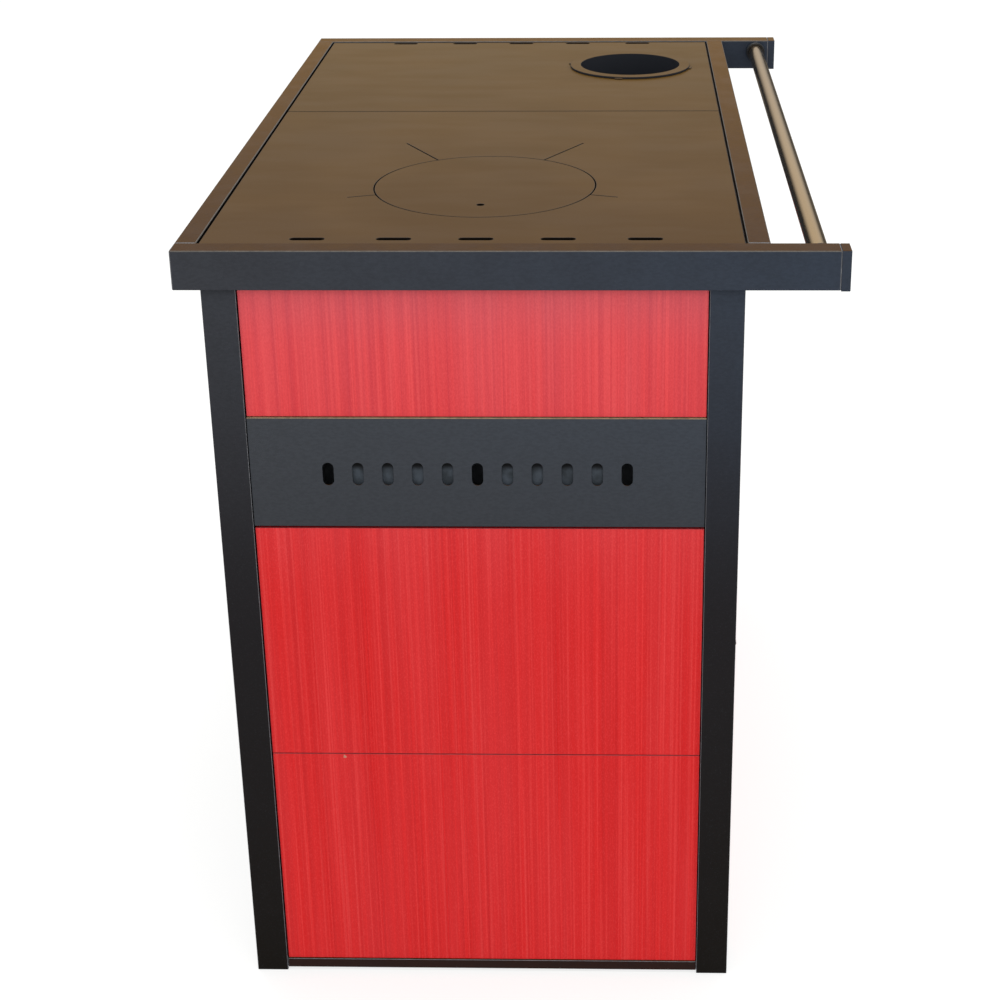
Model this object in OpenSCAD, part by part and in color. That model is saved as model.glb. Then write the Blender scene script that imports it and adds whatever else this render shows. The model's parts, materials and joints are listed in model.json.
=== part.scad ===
// Wood-burning cook stove: steel body with a hob, fire door, ash drawer, oven and wood drawer.
// Millimetres. Origin on the floor under the middle; -Y is the front, +Z is up.

/* [Hob frame] */
// Length of the hob frame from its left end to its right end
hob_w = 1000; // [960:1:1060]
// Depth of the hob frame without the rail arms
frame_d = 575; // [560:1:620]
// Reach of the rail arms in front of the hob frame
arm_reach = 75; // [65:1:100]
// Height of the top of the hob frame
hob_h = 850; // [840:1:900]
// Height of the frame bars
bar_h = 40; // [36:1:50]
// Width of the left and right bars
side_bar_w = 25; // [22:1:35]
// Width of the front bar
front_bar_w = 22; // [18:1:23]
// Width of the rear bar
rear_bar_w = 21; // [18:1:24]
// Wall of the frame bars
bar_wall = 2; // [1.5:0.5:3]
// Thickness of the end caps on the rail arms
cap_t = 9; // [4:1:15]
// Length of the plugs that hold the end caps
cap_plug = 6; // [3:1:6]
// Outer edge radius of the frame bars
bar_edge_r = 1.5; // [0.5:0.1:2]

/* [Hob plates] */
// Thickness of the hob plates
plate_t = 6; // [4:0.5:8]
// Depth of the hob plates below the top of the frame
plate_recess = 1.5; // [0.5:0.5:3]
// Gap round the hob plates
plate_gap = 2; // [1:0.1:2.5]
// Distance from the left end to the seam between the plates
seam_from_left = 563; // [520:1:600]
// Diameter of the lift-out disc
disc_d = 234; // [200:1:260]
// Distance from the left end to the centre of the disc
disc_from_left = 233; // [215:1:250]
// Gap round the disc
disc_gap = 1.2; // [0.5:0.1:1.5]
// Width of the seat under the disc
disc_seat_w = 9; // [6:1:12]
// Diameter of the lifting hole in the disc
lift_hole_d = 8; // [6:1:10]
// Distance from the centre of the disc to the lifting hole
lift_hole_from_centre = 73; // [60:1:80]
// Width of the expansion cuts
cut_w = 1.6; // [1:0.1:2.5]
// Radius where the long expansion cuts end
long_cut_r = 203; // [180:1:210]
// Radius where the short expansion cuts end
short_cut_r = 148; // [140:1:160]
// Length of the slots at the plate ends
end_slot_l = 34; // [25:1:40]
// Width of the slots at the plate ends
end_slot_w = 8.5; // [6:0.5:10]
// Distance from the left end of the frame to its row of slots
end_slot_inset = 43; // [38:1:50]
// Distance from the right end of the frame to its row of slots
far_slot_inset = 33; // [32:1:50]
// Distance from the middle slot to its neighbours
end_slot_pitch = 80; // [75:0.5:90]
// Distance from those to the outermost slots
last_slot_pitch = 84.5; // [75:0.5:90]
// Offset of the rows of slots towards the front
end_slot_shift = 3.5; // [0:0.5:6]

/* [Flue collar] */
// Bore of the flue collar
flue_d = 132; // [120:1:140]
// Wall of the flue collar
flue_wall = 2.5; // [2:0.5:4]
// Diameter of the collar's flange
flange_d = 160; // [156:1:180]
// Thickness of the collar's flange
flange_t = 3; // [2:0.5:5]
// Height of the whole collar
collar_h = 62; // [40:1:80]
// Distance from the right end to the centre of the collar
flue_from_right = 184; // [170:1:200]
// Distance from the front of the frame to the centre of the collar
flue_from_front = 131; // [125:1:160]

/* [Towel rail] */
// Diameter of the towel rail
rail_d = 20; // [16:1:25]
// Wall of the towel rail
rail_wall = 1.5; // [1:0.5:3]
// Distance from the front of the frame to the centre of the rail
rail_from_front = 48; // [40:1:50]
// Distance from the top of the frame down to the centre of the rail
rail_drop = 15; // [13:0.5:18]
// Outer diameter of the ferrules
ferrule_d = 26; // [24:1:28]
// Length of the ferrules
ferrule_l = 7; // [4:1:12]
// Depth of the rail in the arms
rail_grip = 8; // [4:1:12]

/* [Body] */
// Inset of the body from each end of the hob frame
side_inset = 10; // [8:1:12]
// Inset of the body from the front of the hob frame
front_inset = 24; // [24:1:30]
// Inset of the body from the back of the hob frame
rear_inset = 25; // [22:1:30]
// Width of the corner posts
post_w = 34; // [30:1:40]
// Thickness of the corner posts
post_t = 3; // [2:0.5:4]
// Height of the gap under the base pan
base_z = 3; // [2:1:8]
// Height of the rim of the base pan
base_h = 11.5; // [10:0.5:20]
// Sheet thickness of the base pan and cladding
sheet = 1.5; // [1:0.1:2]
// Thickness of the inner steel walls
wall = 3; // [2:0.5:4]
// Running gap between parts that slide or swing
play = 0.3; // [0.2:0.1:0.5]

/* [Cladding] */
// Setback of the red panels behind the posts
panel_recess = 3; // [2.5:0.5:4]
// Setback of the vent strips behind the posts
strip_recess = 1; // [0.5:0.5:2]
// Gap between the cladding and the posts
panel_gap = 0.8; // [0.6:0.1:2]
// Depth of the folded edges of the cladding
panel_fold = 15; // [10:1:18]
// Height of the lower red panels
lower_panel_h = 268.5; // [255:0.5:285]
// Height of the middle red panels
middle_panel_h = 271; // [255:1:290]
// Height of the vent strips
strip_h = 119; // [105:1:135]
// Height of the upper red panels
upper_panel_h = 137; // [120:1:150]
// Gap between the cladding pieces
seam_gap = 0.6; // [0.4:0.1:1]
// Gap under the vent strips
strip_drip = 3; // [1:0.5:4]
// Gap between the vent strips and the baffles behind them
baffle_gap = 3; // [1:0.5:8]
// Number of vent slots in a strip
vent_count = 11; // [5:2:13]
// Distance between neighbouring vent slots
vent_pitch = 30; // [26:1:32]
// Width of a vent slot
vent_w = 11.3; // [8:0.1:14]
// Height of a vent slot
vent_h = 24.5; // [18:0.5:34]

/* [Front] */
// Thickness of the doors and drawer fronts
door_t = 20; // [18:1:20]
// Gap between the doors and the front plate
seal_gap = 3; // [2.5:0.5:4]
// Gap between neighbouring doors and drawers
door_gap = 4; // [3.5:0.5:6]
// Distance from the middle of the body to the line between the fire door and the oven door
divide_x = 68; // [50:1:90]
// Height of the wood drawer's row
wood_row_h = 269.5; // [262:0.5:285]
// Height of the ash drawer's row
ash_row_h = 138; // [130:1:150]
// Height of the fire door's row
fire_row_h = 252; // [245:1:265]
// Height of the fascia's row
fascia_row_h = 136; // [120:1:145]
// Diameter of the door pins
pin_d = 8; // [6:1:10]
// Radial clearance of the turning fits
fit_gap = 0.06; // [0.03:0.01:0.09]
// Reach of the handles in front of the doors
handle_reach = 24; // [20:1:30]
// Length of the wood drawer's handle
wood_handle_l = 320; // [240:10:500]
// Length of the fire door's lever
lever_l = 105; // [80:1:115]
// Diameter of the air wheel
wheel_d = 84; // [76:1:96]
// Diameter of the holes in the air wheel
air_hole_d = 22; // [16:1:23]
// Distance from the rim of the air wheel to the middle of its holes
air_hole_inset = 17; // [15:1:19]
// Diameter of the ash drawer's knob
knob_d = 26; // [20:1:32]
// Length of the ash drawer's knob
knob_l = 18; // [14:1:24]
// Distance from the side of the ash pan to the knob
knob_inset = 40; // [30:1:50]
// Height of the low front wall of the ash pan
pan_lip_h = 15; // [10:1:16]
// Diameter of the handle bars
handle_d = 12; // [10:1:14]

/* [Firebox] */
// Thickness of the firebricks
brick_t = 30; // [20:1:40]
// Rise of the grate above the ash drawer's row
grate_rise = 6; // [4:1:12]
// Thickness of the grate and its frame
grate_t = 14; // [10:1:18]
// Length of the grate from front to back
grate_l = 300; // [240:1:330]
// Width of the grate
grate_w = 190; // [150:1:220]
// Number of bars in the grate
grate_bars = 9; // [5:1:12]

/* [Oven] */
// Width of the oven cavity
oven_w = 410; // [360:1:415]
// Distance from the fascia's row down to the ceiling of the oven
oven_drop = 42; // [36:1:60]
// Depth of the oven cavity
oven_l = 400; // [340:1:420]
// Rise of the oven's floor above the wood drawer's row
oven_rise = 48; // [44:1:56]
// Diameter of the rods of the rack
rack_rod_d = 5; // [4:0.5:7]
// Diameter of the bars between the side rods of the rack
rack_bar_d = 3.5; // [2.5:0.25:3.75]
// Number of cross rods in the rack
rack_rods = 13; // [7:1:19]
// Depth of the baking tray
tray_h = 32; // [20:1:50]

/* [Hidden] */
$fn = 48;

// Main planes, left to right, front to back and bottom to top
rear_y = (frame_d + arm_reach) / 2;
front_y = rear_y - frame_d;
arm_y = front_y - arm_reach;
half_w = hob_w / 2;
bar_z = hob_h - bar_h;
body_x = half_w - side_inset;
body_front = front_y + front_inset;
body_rear = rear_y - rear_inset;
base_top = base_z + base_h;
plate_top = hob_h - plate_recess;
plate_low = plate_top - plate_t;
seam_x = seam_from_left - half_w;
inner_x = half_w - side_bar_w;
inner_front = front_y + front_bar_w;
inner_rear = rear_y - rear_bar_w;
plate_mid_y = (inner_front + inner_rear) / 2;
ledge_t = 3;
ledge_w = 24;
ledge_z = plate_low - ledge_t;

// Rows of the front and of the sides, which share out the height of the body
body_h = bar_z - base_top;
row = body_h / (wood_row_h + ash_row_h + fire_row_h + fascia_row_h);
shelf_z = base_top + wood_row_h * row;
ash_top_z = shelf_z + ash_row_h * row;
fascia_z = ash_top_z + fire_row_h * row;
panel_row = body_h / (lower_panel_h + middle_panel_h + strip_h + upper_panel_h);
lower_seam_z = base_top + lower_panel_h * panel_row;
strip_low_z = lower_seam_z + middle_panel_h * panel_row;
strip_high_z = strip_low_z + strip_h * panel_row;
grate_z = ash_top_z + grate_rise;
oven_z = shelf_z + oven_rise;
oven_h = fascia_z - oven_drop - oven_z;

// Openings between the posts
side_y0 = body_front + post_w;
side_y1 = body_rear - post_w;
front_x = body_x - post_w;
post_back_x = body_x - post_t - play;

// Door planes
door_back = body_front + door_t;
plate_y = door_back + seal_gap;
inside_y = plate_y + wall;
door_mid_y = body_front + door_t / 2;
half_gap = door_gap / 2;
door_side_gap = 5;
fire_x0 = -front_x + door_side_gap;
fire_x1 = -divide_x - half_gap;
oven_x0 = -divide_x + half_gap + 2;
oven_x1 = front_x - half_gap - 1.5;
drawer_x = front_x - half_gap;

// Inner casing
casing_x = body_x - 42;
casing_y1 = body_rear - 30;
casing_z = shelf_z + wall;
casing_top = plate_low - play;
cell_floor = casing_z + wall;
wall_x = -divide_x - 8;

// Oven, ash pan, wood drawer and damper places
oven_in_x = (oven_x0 + oven_x1 - oven_w) / 2;
oven_out_x1 = oven_in_x + oven_w + wall;
oven_top = oven_z + oven_h + wall;
ash_x0 = fire_x0 + 26;
ash_x1 = fire_x1 - 30;
ash_l = 430;
box_z = base_top + 26;
drawer_l = 460;
damper_x = 230;
damper_z = (oven_top + casing_top) / 2;
damper_d = 10;
flap_r = 62;
mouth_in = 24;
fire_mouth = [fire_x0 + mouth_in + 6, ash_top_z + mouth_in, fire_x1 - mouth_in, fascia_z - mouth_in];
spindle_x = fire_mouth[2] - 14;
spindle_z = (ash_top_z + fascia_z) / 2;
dial_x = (oven_x0 + oven_x1) / 2;
dial_z = fascia_z - 60;

disc_x = disc_from_left - half_w;
flue_x = half_w - flue_from_right;
flue_y = front_y + flue_from_front;
rail_y = front_y - rail_from_front;
rail_z = hob_h - rail_drop;

// Plane outlines pushed through a thickness, and rectangles by their corners
module slab_z(z0, t) translate([0, 0, z0]) linear_extrude(t) children();
module slab_y(y0, t) translate([0, y0 + t, 0]) rotate([90, 0, 0]) linear_extrude(t) children();
module slab_x(x0, t) translate([x0, 0, 0]) rotate([90, 0, 90]) linear_extrude(t) children();
module rect(a, b, c, d) translate([a, b]) square([c - a, d - b]);
module round_rect(a, b, c, d, r) {
    rect(a + r, b, c - r, d);
    rect(a, b + r, c, d - r);
    for (x = [a + r, c - r], y = [b + r, d - r]) translate([x, y]) circle(r);
}
module obround(l, w) {
    square([l - w, w], center = true);
    for (s = [-1, 1]) translate([s * (l - w) / 2, 0]) circle(d = w);
}
module right_side() mirror([1, 0, 0]) children();
module both_sides() {
    children();
    mirror([1, 0, 0]) children();
}
module rod_x(x0, x1, y, z, d) translate([x0, y, z]) rotate([0, 90, 0]) cylinder(d = d, h = x1 - x0);
module rod_y(y0, y1, x, z, d) translate([x, y1, z]) rotate([90, 0, 0]) cylinder(d = d, h = y1 - y0);
module rod_z(z0, z1, x, y, d) translate([x, y, z0]) cylinder(d = d, h = z1 - z0);

// Hob frame: closed tubes with a ledge on the inside that carries the plates
module bar_profile(a, b) {
    difference() {
        round_rect(a, bar_z, b, hob_h, bar_edge_r);
        rect(a + bar_wall, bar_z + bar_wall, b - bar_wall, hob_h - bar_wall);
    }
}
module left_hob_bar() color("#3a4048") {
    difference() {
        slab_y(arm_y + cap_t, rear_y - arm_y - cap_t)
            round_rect(-half_w, bar_z, -inner_x, hob_h, bar_edge_r);
        slab_y(arm_y, rear_y - arm_y - bar_wall)
            rect(-half_w + bar_wall, bar_z + bar_wall, -inner_x - bar_wall, hob_h - bar_wall);
        rod_x(-inner_x - bar_wall - 1, -inner_x + 1, rail_y, rail_z, rail_d + 2 * fit_gap);
    }
    slab_y(inner_front, inner_rear - inner_front) rect(-inner_x, ledge_z, -inner_x + ledge_w / 2, plate_low - play);
}
module right_hob_bar() right_side() left_hob_bar();
module front_hob_bar() color("#5f4c37") {
    slab_x(-inner_x, 2 * inner_x) bar_profile(front_y, inner_front);
    slab_x(-inner_x + ledge_w / 2, 2 * inner_x - ledge_w) rect(inner_front, ledge_z, inner_front + ledge_w, plate_low - play);
}
module rear_hob_bar() color("#5f4c37") {
    slab_x(-inner_x, 2 * inner_x) bar_profile(inner_rear, rear_y);
    slab_x(-inner_x + ledge_w / 2, 2 * inner_x - ledge_w) rect(inner_rear - ledge_w, ledge_z, inner_rear, plate_low - play);
}
module bar_end_caps() color("#323840") both_sides() {
    slab_y(arm_y, cap_t) round_rect(-half_w, bar_z - 1, -inner_x, hob_h, bar_edge_r);
    slab_y(arm_y + cap_t, cap_plug)
        rect(-half_w + bar_wall + play, bar_z + bar_wall + play, -inner_x - bar_wall - play, hob_h - bar_wall - play);
}

// Hob plates
module end_slots(x) {
    for (y = [-end_slot_pitch - last_slot_pitch, -end_slot_pitch, 0, end_slot_pitch, end_slot_pitch + last_slot_pitch])
        translate([x, plate_mid_y - end_slot_shift + y]) rotate(90) obround(end_slot_l, end_slot_w);
}
module expansion_cut(angle, end_r)
    translate([disc_x, plate_mid_y]) rotate(angle)
        translate([disc_d / 2 - 2, -cut_w / 2]) square([end_r - disc_d / 2 + 2, cut_w]);
module left_hob_plate() color("#6b573f") {
    difference() {
        slab_z(plate_low, plate_t)
            rect(-inner_x + plate_gap, inner_front + plate_gap, seam_x - plate_gap / 2, inner_rear - plate_gap);
        slab_z(plate_low - 1, plate_t + 2) {
            translate([disc_x, plate_mid_y]) circle(d = disc_d + 2 * disc_gap, $fn = 96);
            end_slots(end_slot_inset - half_w);
            for (s = [-1, 1]) {
                expansion_cut(s * 30, long_cut_r);
                expansion_cut(s * 108, short_cut_r);
            }
        }
    }
    translate([disc_x, plate_mid_y, plate_low - ledge_t]) difference() {
        cylinder(d = disc_d + 2 * disc_seat_w, h = ledge_t, $fn = 96);
        translate([0, 0, -1]) cylinder(d = disc_d - 2 * disc_seat_w, h = ledge_t + 2, $fn = 96);
    }
}
module right_hob_plate() color("#6f5b42") difference() {
    slab_z(plate_low, plate_t)
        rect(seam_x + plate_gap / 2, inner_front + plate_gap, inner_x - plate_gap, inner_rear - plate_gap);
    slab_z(plate_low - 1, plate_t + 2) {
        translate([flue_x, flue_y]) circle(d = flue_d + 2 * flue_wall + 2 * play, $fn = 96);
        end_slots(half_w - far_slot_inset);
    }
}
module hob_disc() color("#6b573f") translate([disc_x, plate_mid_y, plate_low + play]) difference() {
    cylinder(d = disc_d, h = plate_t - play, $fn = 96);
    translate([-lift_hole_from_centre, 0, -1]) cylinder(d = lift_hole_d, h = plate_t + 2);
}
module flue_collar() color("#2b2c30") translate([flue_x, flue_y, plate_top]) difference() {
    union() {
        cylinder(d = flange_d, h = flange_t, $fn = 96);
        translate([0, 0, flange_t - collar_h]) cylinder(d = flue_d + 2 * flue_wall, h = collar_h, $fn = 96);
        for (i = [0:3]) rotate(i * 90 - 11) translate([flange_d / 2 - 2, -5, 0]) cube([5, 10, flange_t / 2]);
    }
    translate([0, 0, -collar_h]) cylinder(d = flue_d, h = 2 * collar_h, $fn = 96);
}
module towel_rail() color("#b39c7c") difference() {
    rod_x(-inner_x - bar_wall - rail_grip, inner_x + bar_wall + rail_grip, rail_y, rail_z, rail_d);
    rod_x(-half_w, half_w, rail_y, rail_z, rail_d - 2 * rail_wall);
}
module rail_ferrules() color("#1f1f20") both_sides() difference() {
    rod_x(-inner_x, -inner_x + ferrule_l, rail_y, rail_z, ferrule_d);
    rod_x(-half_w, 0, rail_y, rail_z, rail_d + 2 * fit_gap);
}

// Body frame
module post(front) {
    y0 = front ? body_front : side_y1;
    y_leg = front ? body_front : body_rear - post_t;
    slab_z(0, bar_z) {
        rect(-body_x, y0, -body_x + post_t, y0 + post_w);
        rect(-body_x, y_leg, -front_x, y_leg + post_t);
    }
}
module front_left_post() color("#2c3138") post(true);
module rear_left_post() color("#2c3138") post(false);
module front_right_post() color("#2c3138") right_side() post(true);
module rear_right_post() color("#2c3138") right_side() post(false);
module base_outline(inset) {
    rect(-body_x + sheet + inset, side_y0 + play + inset, body_x - sheet - inset, side_y1 - play - inset);
    rect(-front_x + play + inset, body_front + sheet + inset, front_x - play - inset, body_rear - sheet - inset);
    rect(-post_back_x + inset, body_front + post_t + play + inset,
         post_back_x - inset, body_rear - post_t - play - inset);
}
module base_pan() color("#24221f") {
    difference() {
        slab_z(base_z, base_h) base_outline(0);
        slab_z(base_z - 1, base_h - wall + 1) base_outline(wall);
    }
    both_sides() slab_y(inside_y + 10, drawer_l - 20) {
        rect(-drawer_x + 8, base_top, -drawer_x + 8 + wall, box_z - play);
        rect(-drawer_x + 8, box_z - play - wall, -drawer_x + 48, box_z - play);
    }
}
module middle_shelf() color("#3a3a3a") slab_z(shelf_z, wall - play) {
    rect(-casing_x - 18, inside_y + play, casing_x + 18, body_rear - panel_fold - play);
    both_sides() {
        rect(-post_back_x, inside_y + play, -casing_x, side_y0 - 2);
        rect(-post_back_x, side_y1 + 2, -casing_x, body_rear - panel_fold - play);
    }
}

module front_plate() color("#2a2a2b") difference() {
    slab_y(plate_y, wall) {
        rect(-post_back_x, base_top + play, post_back_x, bar_z - play);
        rect(-inner_x + play, bar_z - 2, inner_x - play, ledge_z - play);
    }
    slab_y(plate_y - 1, wall + 2) {
        rect(fire_mouth[0], fire_mouth[1], fire_mouth[2], fire_mouth[3]);
        rect(ash_x0 - 3, cell_floor, ash_x1 + 3, ash_top_z - 8);
        rect(oven_in_x, oven_z, oven_in_x + oven_w, oven_z + oven_h);
        rect(-drawer_x + 4, base_top, drawer_x - 4, shelf_z - 8);
    }
    rod_y(plate_y - 1, inside_y + 1, damper_x, damper_z, damper_d + 2 * fit_gap);
}
module fascia() color("#24262a") difference() {
    union() {
        slab_y(body_front, sheet) rect(-drawer_x, fascia_z + half_gap, drawer_x, bar_z - play);
        difference() {
            slab_y(body_front, plate_y - body_front - play)
                rect(-drawer_x, fascia_z + half_gap, drawer_x, bar_z - play);
            slab_y(body_front - 1, plate_y - body_front + 2)
                rect(-drawer_x + sheet, fascia_z + half_gap + sheet, drawer_x - sheet, bar_z - play - sheet);
        }
    }
    rod_y(body_front - 1, plate_y, damper_x, damper_z, damper_d + 2);
}

// Cladding: folded trays whose open side faces the stove
module tray(x0, z0, z1) difference() {
    slab_x(-x0, panel_fold) rect(side_y0 + panel_gap, z0, side_y1 - panel_gap, z1);
    slab_x(-x0 + sheet, panel_fold)
        rect(side_y0 + panel_gap + sheet, z0 + sheet, side_y1 - panel_gap - sheet, z1 - sheet);
}
panel_x = body_x - panel_recess;
strip_x = body_x - strip_recess;
baffle_x = sheet + baffle_gap - strip_x;
baffle_in = sheet + play;
vent_z = (strip_low_z + strip_high_z) / 2 - 1.5;
vent_y = (body_front + body_rear) / 2;
module vent_row() for (i = [0:vent_count - 1])
    translate([vent_y + (i - (vent_count - 1) / 2) * vent_pitch, vent_z]) rotate(90) obround(vent_h, vent_w);
module left_upper_panel() color("#d5363b") tray(panel_x, strip_high_z + seam_gap, bar_z - play);
module left_middle_panel() color("#d02f33") tray(panel_x, lower_seam_z + seam_gap / 2, strip_low_z - strip_drip);
module left_lower_panel() color("#cf2d31") tray(panel_x, base_top + play, lower_seam_z - seam_gap / 2);
module left_vent_strip() color("#34393f") difference() {
    tray(strip_x, strip_low_z, strip_high_z);
    slab_x(-strip_x - 1, sheet + 2) vent_row();
}
module left_vent_baffle() color("#47443f") difference() {
    slab_x(baffle_x, sheet) rect(side_y0 + panel_gap + baffle_in, strip_low_z + baffle_in,
        side_y1 - panel_gap - baffle_in, strip_high_z - baffle_in);
    slab_x(baffle_x - 1, sheet + 2) for (i = [-5, 0, 5])
        translate([vent_y + i * vent_pitch, vent_z]) square([vent_w + 6, vent_h + 8], center = true);
}
module right_upper_panel() right_side() left_upper_panel();
module right_middle_panel() right_side() left_middle_panel();
module right_lower_panel() right_side() left_lower_panel();
module right_vent_strip() right_side() left_vent_strip();
module right_vent_baffle() right_side() left_vent_baffle();
module rear_cover() color("#232323") difference() {
    slab_y(body_rear - panel_fold, panel_fold) rect(-drawer_x, base_top + play, drawer_x, ledge_z - play);
    slab_y(body_rear - 2 * panel_fold, 2 * panel_fold - sheet)
        rect(-drawer_x + sheet, base_top + play + sheet, drawer_x - sheet, ledge_z - play - sheet);
}

// Firebox and smoke path
module inner_casing() color("#5a5652") difference() {
    slab_z(casing_z, casing_top - casing_z) rect(-casing_x, inside_y + play, casing_x, casing_y1);
    slab_z(cell_floor, casing_top) rect(-casing_x + wall, inside_y, casing_x - wall, casing_y1 - wall);
    rod_y(casing_y1 - wall - 1, casing_y1 + 1, damper_x, damper_z, damper_d + 2 * fit_gap);
}
module smoke_walls() color("#5a5652") {
    difference() {
        slab_x(wall_x, wall) rect(inside_y + play, cell_floor, casing_y1 - wall - play, casing_top);
        slab_x(wall_x - 1, wall + 2) rect(inside_y + 60, brick_z1 + 8, casing_y1 - 60, casing_top - 25);
    }
    slab_x(wall_x - 12, 12) rect(inside_y + play, grate_z - grate_t - 12, casing_y1 - wall - play, grate_z - grate_t - play);
    slab_x(-casing_x + wall + play, 12)
        rect(inside_y + play, grate_z - grate_t - 12, casing_y1 - wall - play, grate_z - grate_t - play);
    difference() {
        slab_x(damper_x - wall / 2, wall) rect(inside_y + play, oven_top + play, casing_y1 - wall - play, casing_top);
        slab_x(damper_x - wall, 2 * wall)
            rect(flap_y0 - 3, damper_z - flap_r - 3, flap_y1 + 3, damper_z + flap_r + 3);
        rod_y(inside_y - 1, casing_y1, damper_x, damper_z, damper_d + 2);
    }
}
flap_y0 = inside_y + 90;
flap_y1 = casing_y1 - 90;
brick_z1 = fascia_z + 60;
brick_y0 = inside_y + 12;
brick_l = (casing_y1 - wall - brick_t - play - brick_y0) / 2;
module firebricks() color("#c9b48d") {
    for (i = [0, 1]) {
        y0 = brick_y0 + i * brick_l;
        y1 = y0 + brick_l - play;
        slab_x(-casing_x + wall + play, brick_t) rect(y0, grate_z + play, y1, brick_z1);
        slab_x(wall_x - brick_t - play, brick_t) rect(y0, grate_z + play, y1, brick_z1);
    }
    slab_y(casing_y1 - wall - brick_t - play, brick_t)
        rect(-casing_x + wall + play, grate_z + play, wall_x - play, brick_z1);
}
grate_x = (-casing_x + wall + wall_x) / 2;
grate_y = (inside_y + casing_y1 - wall - brick_t) / 2;
module grate_frame() color("#3b3937") difference() {
    slab_z(grate_z - grate_t, grate_t)
        rect(-casing_x + wall + play, inside_y + play, wall_x - play, casing_y1 - wall - play);
    slab_z(grate_z - grate_t - 1, grate_t + 2) translate([grate_x, grate_y])
        square([grate_w - 12, grate_l - 12], center = true);
    slab_z(grate_z - grate_t / 2 - play, grate_t) translate([grate_x, grate_y])
        square([grate_w + 2, grate_l + 2], center = true);
}
module fire_grate() color("#4a4643") difference() {
    slab_z(grate_z - grate_t / 2, grate_t / 2) translate([grate_x, grate_y]) square([grate_w, grate_l], center = true);
    slab_z(grate_z - grate_t, 2 * grate_t) for (i = [0:grate_bars])
        translate([grate_x + (i - grate_bars / 2) * (grate_w - 20) / (grate_bars + 1), grate_y])
            rotate(90) obround(grate_l - 30, 9);
}
module damper_flap() color("#4b4b4b") {
    rod_y(body_front - 12, casing_y1 + 2, damper_x, damper_z, damper_d);
    slab_x(damper_x - 1.5, 3) rect(flap_y0, damper_z - flap_r, flap_y1, damper_z + flap_r);
}
module damper_knob() color("#2b2b2b") difference() {
    translate([damper_x, body_front - play, damper_z]) rotate([90, 0, 0]) union() {
        cylinder(d = 46, h = 5);
        cylinder(d1 = 34, d2 = 30, h = 14);
        translate([-4, -26, 5]) cube([8, 52, 15]);
    }
    rod_y(body_front - 12, body_front + 1, damper_x, damper_z, damper_d + 2 * fit_gap);
}

// Doors on pivot pins: the edge on the pin side is round so that it clears its post
module round_edge_z(x, z0, z1) translate([x, door_mid_y, z0]) cylinder(d = door_t, h = z1 - z0);
fire_pin_x = fire_x0 + door_t / 2;
fire_z0 = ash_top_z + half_gap;
fire_z1 = fascia_z - half_gap;
glass_in = 52;
glass_t = 4;
seal_w = 9;
module fire_door() color("#232324") difference() {
    union() {
        slab_y(body_front, door_t) rect(fire_pin_x, fire_z0, fire_x1, fire_z1);
        round_edge_z(fire_pin_x, fire_z0, fire_z1);
    }
    slab_y(body_front - 1, door_t + 2)
        round_rect(fire_x0 + glass_in, fire_z0 + glass_in, fire_x1 - glass_in - 14, fire_z1 - glass_in, 14);
    slab_y(body_front - 1, 5) round_rect(fire_x0 + glass_in - 12, fire_z0 + glass_in - 12,
        fire_x1 - glass_in - 2, fire_z1 - glass_in + 12, 20);
    slab_y(door_back - glass_t - 1, door_t) rect(fire_x0 + glass_in - 14, fire_z0 + glass_in - 14,
        fire_x1 - glass_in, fire_z1 - glass_in + 14);
    slab_y(door_back - 3, 4) seal_ring(fire_x0 + 16, fire_z0 + 8, fire_x1 - 8, fire_z1 - 8, seal_w + 1);
    rod_y(body_front - 1, door_back + 1, spindle_x, spindle_z, pin_d + 2 * fit_gap);
    for (z = [fire_z0 - 1, fire_z1 - 14]) rod_z(z, z + 15, fire_pin_x, door_mid_y, pin_d + 0.1);
}
module seal_ring(a, b, c, d, w) difference() {
    round_rect(a, b, c, d, 14);
    round_rect(a + w, b + w, c - w, d - w, 6);
}
module fire_door_seal() color("#b8b4aa") slab_y(door_back - 3 + play, seal_gap + 3 - 2 * play)
    seal_ring(fire_x0 + 16.5, fire_z0 + 8.5, fire_x1 - 8.5, fire_z1 - 8.5, seal_w);
module fire_glass() color([0.3, 0.3, 0.32, 0.5]) slab_y(door_back - glass_t - 1 + play, glass_t)
    rect(fire_x0 + glass_in - 13, fire_z0 + glass_in - 13, fire_x1 - glass_in - 1, fire_z1 - glass_in + 13);
clip_w = 16;
module glass_clips() color("#9a9a9a")
    for (x = [fire_x0 + glass_in + 30, fire_x1 - glass_in - 60], s = [0, 1])
        slab_y(door_back, 2) translate([x, s ? fire_z1 - glass_in + 6 : fire_z0 + glass_in - 22])
            square([clip_w, clip_w]);
module fire_door_pins() color("#8f8f8f") for (z = [fire_z0 - 4 + play, fire_z1 - 13])
    rod_z(z, z + 16.5, fire_pin_x, door_mid_y, pin_d);
module fire_door_handle() color("#8d8f92") {
    rod_y(body_front - handle_reach + 4, inside_y + play + 6, spindle_x, spindle_z, pin_d);
    rod_y(body_front - 7, body_front - play, spindle_x, spindle_z, 22);
    translate([spindle_x, body_front - handle_reach + 7, spindle_z - lever_l]) {
        cylinder(d1 = 15, d2 = 11, h = lever_l + 5);
        sphere(d = 15);
        translate([0, 0, lever_l + 5]) sphere(d = 11);
    }
    slab_y(inside_y + play, 6) rect(spindle_x - 6, spindle_z - 20, spindle_x + 6, spindle_z + 6);
}
bracket_t = 3;
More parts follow.
